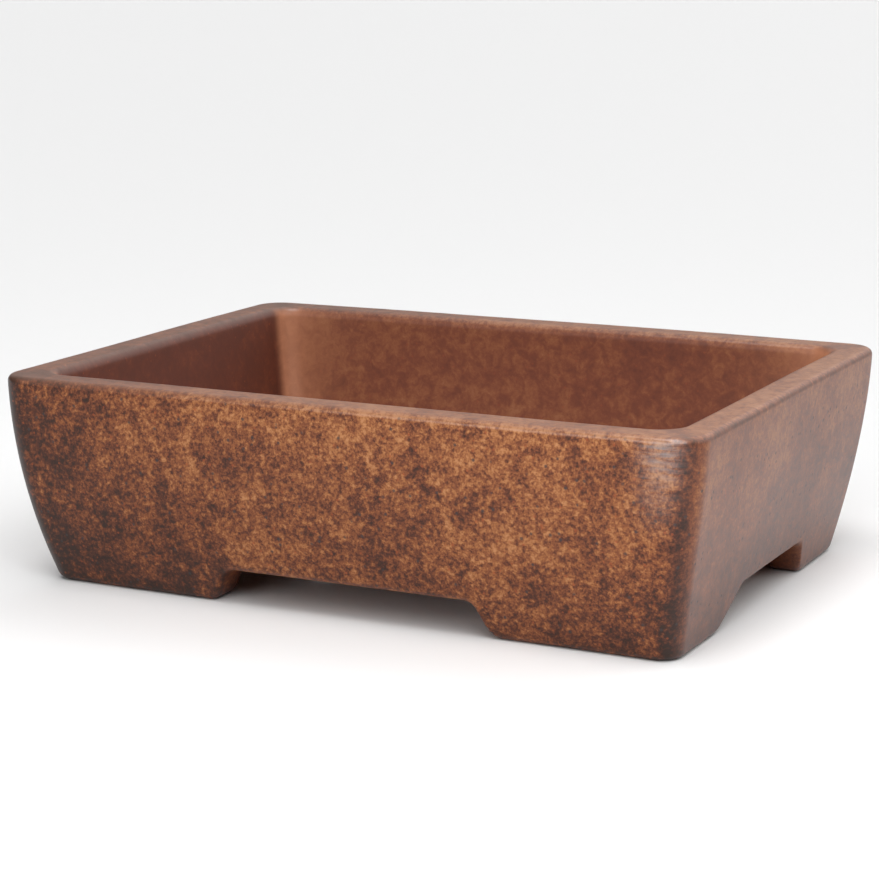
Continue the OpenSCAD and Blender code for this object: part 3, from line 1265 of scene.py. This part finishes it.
@dataclass
class ScreenClip:
    """A bent wire clip: a cross wire, two loops on the netting, two legs and two tails."""

    node: str
    name: str
    wire: float = 1.5 * MM
    leg: float = 7 * MM
    loop: float = 5.5 * MM
    bend: float = 2.2 * MM
    reach: float = 18 * MM
    dome: float = 0.3 * MM
    sides: int = 14

    def arc(self, centre: Sequence[float], start: Sequence[float], turn: Sequence[float],
            angle: float) -> np.ndarray:
        """Points of an arc: centre + start cos(t) + turn sin(t), for t from 0 to angle.

        Args:
            centre: The arc's centre.
            start: From the centre to the arc's first point.
            turn: As long as start, square to it, on the side that the arc turns to.
            angle: How far it turns.

        Returns:
            The points, without the last one.
        """
        spacing = 0.45 * MM
        count = max(3, round(np.linalg.norm(start) * angle / spacing))
        t = np.linspace(0, angle, count, endpoint=False)[:, None]
        return np.asarray(centre) + np.asarray(start) * np.cos(t) + np.asarray(turn) * np.sin(t)

    def half_path(self, middle: np.ndarray, top: float, low: float, tail_end: float) -> np.ndarray:
        """Centre line of the clip's right half, from the middle of the cross wire to the tail.

        Args:
            middle: x and y of the clip's middle.
            top: Height of the wire on the netting.
            low: Height of the wire under the floor.
            tail_end: Distance of the tail's end from the middle.

        Returns:
            The points, one row each.
        """
        loop_x = self.leg + self.loop
        cross_y = self.bend - self.loop
        bend, out = self.bend, self.leg + self.bend
        start = np.linspace((0, cross_y, top), (loop_x, cross_y, top), 24, endpoint=False)
        loop = self.arc((loop_x, bend, top), (0, -self.loop, 0), (self.loop, 0, 0), 3 * QUARTER)
        over = self.arc((self.leg, bend, top - bend), (0, 0, bend), (0, -bend, 0), QUARTER)
        leg = np.linspace((self.leg, 0, top - bend), (self.leg, 0, low + bend), 20, endpoint=False)
        under = self.arc((out, 0, low + bend), (-bend, 0, 0), (0, 0, -bend), QUARTER)
        tail = np.linspace((out, 0, low), (tail_end, 0, low), 18)
        path = np.concatenate([start, loop, over, leg, under, tail])
        return path + np.array([middle[0], middle[1], 0.0])

    def build(self, metal: bpy.types.Material) -> bpy.types.Object:
        """Make the clip as one round wire along its whole path.

        Args:
            metal: The wire's finish.

        Returns:
            The clip.
        """
        low, high = (np.array(corner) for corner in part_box(self.node))
        middle = (low + high) / 2
        radius = self.wire / 2
        tail_end = min((high[0] - low[0]) / 2, self.reach) - self.dome
        middle[1] = low[1] + radius + self.loop - self.bend
        right = self.half_path(middle, high[2] - radius, low[2] + radius, tail_end)
        left = right.copy()
        left[:, 0] = 2 * middle[0] - left[:, 0]
        path = np.concatenate([left[:0:-1], right])
        points, faces = tube(path, radius, self.sides)
        clip = make_piece(self.name, points, faces, metal)
        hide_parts(self.node)
        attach(clip, BODY)
        return clip


# --------------------------------------------------------------------------- the set


class Side(Enum):
    """Which drain hole a screen or clip belongs to."""

    LEFT = "left"
    RIGHT = "right"


@dataclass(frozen=True)
class SkyPanel:
    """A soft panel far away, at an azimuth and elevation in degrees.

    Azimuth 0 is in front of the pot, and 90 is on its right.
    """

    azimuth: float
    elevation: float
    strength: float
    core: float = 8
    edge: float = 40

    def way(self) -> tuple[float, float, float]:
        """Direction from the pot to the panel."""
        turn, lift = math.radians(self.azimuth), math.radians(self.elevation)
        return (math.sin(turn) * math.cos(lift), -math.cos(turn) * math.cos(lift), math.sin(lift))


@dataclass(frozen=True)
class SoftLight:
    """A square area light that faces the pot."""

    name: str
    azimuth: float
    elevation: float
    distance: float
    size: float
    power: float

    def build(self, target: Vector) -> bpy.types.Object:
        """Place the light. Azimuth 0 is in front of the pot, and 90 is on its right.

        Args:
            target: The point that it faces.

        Returns:
            The light.
        """
        way = Vector(SkyPanel(self.azimuth, self.elevation, 1.0).way())
        lamp = bpy.data.lights.new(self.name, "AREA")
        lamp.shape = "SQUARE"
        lamp.size = self.size
        lamp.energy = self.power
        made = bpy.data.objects.new(self.name, lamp)
        made.location = target + way * self.distance
        made.rotation_euler = way.to_track_quat("Z", "Y").to_euler()
        bpy.context.scene.collection.objects.link(made)
        return made


@dataclass
class Studio:
    """Pale floor, soft panels, a key light and the camera."""

    floor_size: float = 14.0
    yaw: float = math.radians(27.06)
    pitch: float = math.radians(12.13)
    roll: float = math.radians(-0.49)
    distance: float = 831 * MM
    aim: tuple[float, float, float] = (-4.27 * MM, -0.39 * MM, 43.45 * MM)
    lens: float = 98.3
    key: SoftLight = SoftLight("key", 34, 40, 0.6, 0.4, 2.1)
    key_aim: tuple[float, float, float] = (0.0, 0.0, 40 * MM)
    panels: tuple[SkyPanel, ...] = (
        SkyPanel(-12, 18, 3.7, 10, 24),
        SkyPanel(-20, 76, 7.0, 8, 22),
        SkyPanel(120, 5, 0.6), SkyPanel(120, 35, 1.5),
        SkyPanel(165, 5, 0.5), SkyPanel(165, 35, 1.1),
        SkyPanel(-150, 5, 0.2), SkyPanel(-150, 35, 0.4),
        SkyPanel(180, 65, 1.0),
    )

    def build_floor(self) -> None:
        """Lay the floor as one square grid."""
        lines = np.linspace(-self.floor_size / 2, self.floor_size / 2, 9)
        x, y = np.meshgrid(lines, lines, indexing="ij")
        points = np.stack([x.ravel(), y.ravel(), np.zeros(x.size)], axis=1)
        faces = grid_faces(len(lines), len(lines), closed=False)
        floor = make_piece("floor", points, [faces], PaleFloor().material())

    def build_world(self) -> None:
        """Light the room with soft panels far away, each a smooth round patch of sky."""
        graph = Graph(bpy.data.worlds.new("room"))
        way = graph.node("ShaderNodeTexCoord", {}, {}).outputs["Generated"]
        glow: Number = 0.0
        for panel in self.panels:
            dot = {"operation": "DOT_PRODUCT"}
            toward = graph.node("ShaderNodeVectorMath", dot, {0: way, 1: panel.way()})
            near = Sock(graph, toward.outputs["Value"])
            edge, core = math.cos(math.radians(panel.edge)), math.cos(math.radians(panel.core))
            glow = near.step(edge, core) * panel.strength + glow
        sky = graph.node("ShaderNodeBackground", {}, {"Strength": glow})
        graph.node("ShaderNodeOutputWorld", {}, {"Surface": sky.outputs[0]})
        bpy.context.scene.world = graph.owner

    def build_camera(self) -> None:
        """Stand the camera in front and to the right, looking slightly down."""
        level_out = math.cos(self.pitch)
        ahead = Vector((-math.sin(self.yaw) * level_out, math.cos(self.yaw) * level_out,
                        -math.sin(self.pitch)))
        right = Vector((math.cos(self.yaw), math.sin(self.yaw), 0.0))
        up = right.cross(ahead)
        level = math.cos(self.roll) * right + math.sin(self.roll) * up
        upright = math.cos(self.roll) * up - math.sin(self.roll) * right
        camera = bpy.data.cameras.new("camera")
        camera.lens = self.lens
        camera.sensor_width = 36.0
        camera.clip_start = 0.05
        camera.clip_end = 50.0
        made = bpy.data.objects.new("camera", camera)
        turn = Matrix((level, upright, -ahead)).transposed()
        made.matrix_world = Matrix.Translation(Vector(self.aim) - ahead * self.distance) @ turn.to_4x4()
        bpy.context.scene.collection.objects.link(made)
        bpy.context.scene.camera = made

    def build(self) -> None:
        """Set out the floor, the room, the lights and the camera."""
        self.build_floor()
        self.build_world()
        self.key.build(Vector(self.key_aim))
        self.build_camera()
        bpy.context.scene.view_settings.view_transform = "Standard"


# --------------------------------------------------------------------------- assembly


def mounts_of(record: dict[str, Any], kind: str) -> list[dict[str, Any]]:
    """The record's mounts of one kind."""
    return [mount for mount in record["mounts"] if mount["kind"] == kind]


def report(piece: bpy.types.Object) -> None:
    """Log a piece's name and size."""
    log.info("%s: %d vertices, %d faces, %s mm", piece.name, len(piece.data.vertices),
             len(piece.data.polygons), tuple(round(side / MM, 1) for side in piece.dimensions))


def main() -> None:
    """Build the pot, its netting and clips, and the set."""
    logging.basicConfig(level=logging.INFO, format="%(name)s: %(message)s")
    ties = mounts_of(frame["record"], "bore")
    screen_low, screen_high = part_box("drain_screen_right")
    floor_top = screen_low[2]
    drain_x = (screen_low[0] + screen_high[0]) / 2
    body = PotBody(
        height=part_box("pot_body")[1][2],
        floor_top=floor_top,
        foot_height=floor_top - ties[0]["dims"]["length_mm"] * MM,
        drain_places=[(-drain_x, 0.0), (drain_x, 0.0)],
        tie_places=[(tie["pos_m"][0], tie["pos_m"][1]) for tie in ties],
        tie_radius=ties[0]["dims"]["r_mm"] * MM,
    )
    pieces = [body.build(Stoneware().material())]
    plastic, metal = Netting().material(), ClipWire().material()
    for side in Side:
        pieces.append(DrainScreen(f"drain_screen_{side.value}", f"netting_{side.value}").build(plastic))
        pieces.append(ScreenClip(f"screen_clip_{side.value}", f"wire_clip_{side.value}").build(metal))
    Studio().build()
    bpy.context.view_layer.update()
    for piece in pieces:
        report(piece)


if __name__ == "__main__":
    main()
